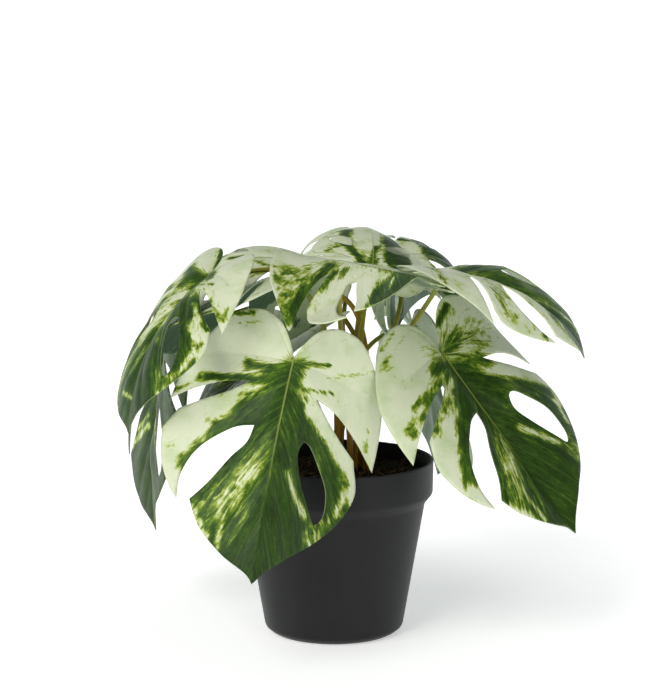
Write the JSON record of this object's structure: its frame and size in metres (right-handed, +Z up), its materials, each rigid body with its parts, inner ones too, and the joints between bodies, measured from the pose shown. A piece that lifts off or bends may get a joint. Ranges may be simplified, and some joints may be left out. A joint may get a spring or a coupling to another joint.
{
  "type": "potted plant",
  "caption": "Bushy potted marble monstera: large split leaves in pale cream and dark green on brown stalks, in a plain tapered charcoal pot filled with soil.",
  "frame": {"origin": "centre of the pot's underside, on the surface that it stands on", "axes": "+Z up along the pot's axis, -Y towards the viewer, +X to the viewer's right"},
  "size_m": [0.2814, 0.3625, 0.2394],
  "materials": {
    "pot": "matt",
    "soil": "rough",
    "stalk": "satin",
    "blade": "satin"
  },
  "bodies": {
    "root": {"pot": "pot", "soil": "soil", "blade_front_left": "blade", "stalk_front_left": "stalk", "blade_front_right": "blade", "stalk_front_right": "stalk", "blade_left_upper": "blade", "stalk_left_upper": "stalk", "blade_left_hanging": "blade", "stalk_left_hanging": "stalk", "blade_back_left": "blade", "stalk_back_left": "stalk", "blade_top_front": "blade", "stalk_top_front": "stalk", "blade_top_back": "blade", "stalk_top_back": "stalk", "blade_top_young": "blade", "stalk_top_young": "stalk", "blade_right_back": "blade", "stalk_right_back": "stalk", "blade_right_upper": "blade", "stalk_right_upper": "stalk", "blade_right_hanging": "blade", "stalk_right_hanging": "stalk", "blade_back_right": "blade", "stalk_back_right": "stalk", "blade_left_inner": "blade", "stalk_left_inner": "stalk", "blade_left_middle": "blade", "stalk_left_middle": "stalk"}
  },
  "joints": []
}
